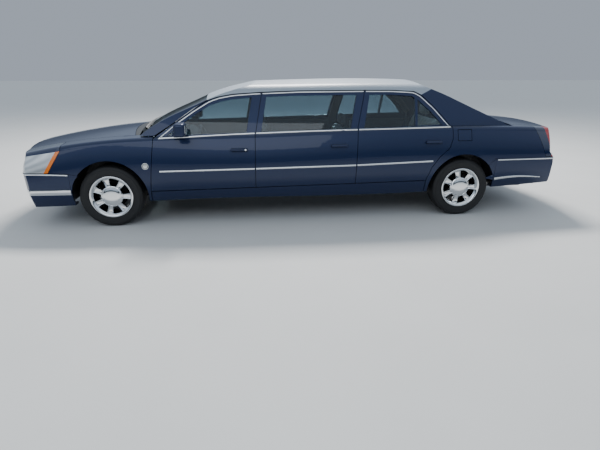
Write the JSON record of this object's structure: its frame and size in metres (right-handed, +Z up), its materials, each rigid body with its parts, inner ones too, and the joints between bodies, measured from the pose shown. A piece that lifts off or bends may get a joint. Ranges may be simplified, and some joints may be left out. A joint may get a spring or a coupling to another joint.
{
  "type": "six-door stretched luxury sedan limousine",
  "caption": "Long luxury sedan with three opening doors a side, bonnet, boot lid, fuel flap and steered wheels; carries people in three seat rows on the road.",
  "frame": {"origin": "on the ground, half way along and half way across the car", "axes": "-X is the front of the car, +Y its right-hand side, +Z up"},
  "size_m": [6.4133, 2.235, 1.5873],
  "materials": {
    "black_trim": "grained",
    "cast": "as cast",
    "chrome": "polished",
    "dash": "grained",
    "engine": "as cast",
    "glass": "tinted",
    "inner_metal": "satin",
    "lamp": "clear",
    "leather": "soft",
    "paint": "gloss metallic",
    "red_lamp": "clear red",
    "rim": "polished",
    "roof_cover": "grained",
    "steel": "dull",
    "tyre": "matt",
    "underbody": "matt"
  },
  "bodies": {
    "body": {"floor": "underbody", "firewall": "inner_metal", "rear_bulkhead": "inner_metal", "wheel_liners": "black_trim", "sills": "paint", "inner_frame_left": "inner_metal", "inner_frame_right": "inner_metal", "front_fender_left": "paint", "front_fender_right": "paint", "quarter_panel_left": "paint", "quarter_panel_right": "paint", "front_pillars": "paint", "roof": "roof_cover", "windscreen": "glass", "rear_window": "glass", "cowl": "black_trim", "front_bumper": "paint", "rear_bumper": "paint", "grille": "chrome", "headlamps": "lamp", "tail_lamps": "red_lamp", "front_seat": "leather", "middle_seat": "leather", "rear_seat": "leather", "dashboard": "dash", "steering_wheel": "dash", "engine": "engine", "front_suspension": "cast", "rear_suspension": "cast", "fuel_tank": "underbody", "exhaust": "steel", "front_structure": "inner_metal", "rear_structure": "inner_metal"},
    "front_door_left": {"front_door_left": "paint", "front_door_glass_left": "glass", "mirror_left": "paint"},
    "front_door_right": {"front_door_right": "paint", "front_door_glass_right": "glass", "mirror_right": "paint"},
    "middle_door_left": {"middle_door_left": "paint", "middle_door_glass_left": "glass"},
    "middle_door_right": {"middle_door_right": "paint", "middle_door_glass_right": "glass"},
    "rear_door_left": {"rear_door_left": "paint", "rear_door_glass_left": "glass"},
    "rear_door_right": {"rear_door_right": "paint", "rear_door_glass_right": "glass"},
    "hood": {"hood": "paint"},
    "boot_lid": {"boot_lid": "paint"},
    "fuel_flap": {"fuel_flap": "paint"},
    "steer_left": {"knuckle_left": "cast"},
    "steer_right": {"knuckle_right": "cast"},
    "wheel_front_left": {"tyre_front_left": "tyre", "rim_front_left": "rim"},
    "wheel_front_right": {"tyre_front_right": "tyre", "rim_front_right": "rim"},
    "wheel_rear_left": {"tyre_rear_left": "tyre", "rim_rear_left": "rim"},
    "wheel_rear_right": {"tyre_rear_right": "tyre", "rim_rear_right": "rim"}
  },
  "joints": [
    {"name": "front_door_left_hinge", "type": "hinge", "parent": "body", "child": "front_door_left", "pos_m": [-1.713, -0.953, 0.6], "axis": [0, -0.0599, -0.9982], "range_deg": [0, 65]},
    {"name": "front_door_right_hinge", "type": "hinge", "parent": "body", "child": "front_door_right", "pos_m": [-1.713, 0.953, 0.6], "axis": [0, -0.0599, 0.9982], "range_deg": [0, 65]},
    {"name": "middle_door_left_hinge", "type": "hinge", "parent": "body", "child": "middle_door_left", "pos_m": [-0.543, -0.953, 0.6], "axis": [0, -0.0599, -0.9982], "range_deg": [0, 65]},
    {"name": "middle_door_right_hinge", "type": "hinge", "parent": "body", "child": "middle_door_right", "pos_m": [-0.543, 0.953, 0.6], "axis": [0, -0.0599, 0.9982], "range_deg": [0, 65]},
    {"name": "rear_door_left_hinge", "type": "hinge", "parent": "body", "child": "rear_door_left", "pos_m": [0.615, -0.953, 0.6], "axis": [0, -0.0599, -0.9982], "range_deg": [0, 68]},
    {"name": "rear_door_right_hinge", "type": "hinge", "parent": "body", "child": "rear_door_right", "pos_m": [0.615, 0.953, 0.6], "axis": [0, -0.0599, 0.9982], "range_deg": [0, 68]},
    {"name": "hood_hinge", "type": "hinge", "parent": "body", "child": "hood", "pos_m": [-1.858, 0, 1.042], "axis": [0, 1, 0], "range_deg": [0, 50]},
    {"name": "boot_lid_hinge", "type": "hinge", "parent": "body", "child": "boot_lid", "pos_m": [2.59, 0, 1.094], "axis": [0, -1, 0], "range_deg": [0, 75]},
    {"name": "fuel_flap_hinge", "type": "hinge", "parent": "body", "child": "fuel_flap", "pos_m": [1.826, -0.93, 0.974], "axis": [0, 0, -1], "range_deg": [0, 95]},
    {"name": "steering_left", "type": "hinge", "parent": "body", "child": "steer_left", "pos_m": [-2.158, -0.66, 0.345], "axis": [0, 0, 1], "range_deg": [-35, 35]},
    {"name": "steering_right", "type": "hinge", "parent": "body", "child": "steer_right", "pos_m": [-2.158, 0.66, 0.345], "axis": [0, 0, 1], "range_deg": [-35, 35]},
    {"name": "wheel_front_left_spin", "type": "hinge", "parent": "steer_left", "child": "wheel_front_left", "pos_m": [-2.158, -0.793, 0.345], "axis": [0, 1, 0], "continuous": true},
    {"name": "wheel_front_right_spin", "type": "hinge", "parent": "steer_right", "child": "wheel_front_right", "pos_m": [-2.158, 0.793, 0.345], "axis": [0, 1, 0], "continuous": true},
    {"name": "wheel_rear_left_spin", "type": "hinge", "parent": "body", "child": "wheel_rear_left", "pos_m": [1.921, -0.793, 0.345], "axis": [0, 1, 0], "continuous": true},
    {"name": "wheel_rear_right_spin", "type": "hinge", "parent": "body", "child": "wheel_rear_right", "pos_m": [1.921, 0.793, 0.345], "axis": [0, 1, 0], "continuous": true}
  ],
  "couplings": [
    {"joint": "steering_right", "follows": "steering_left", "ratio": 1}
  ]
}
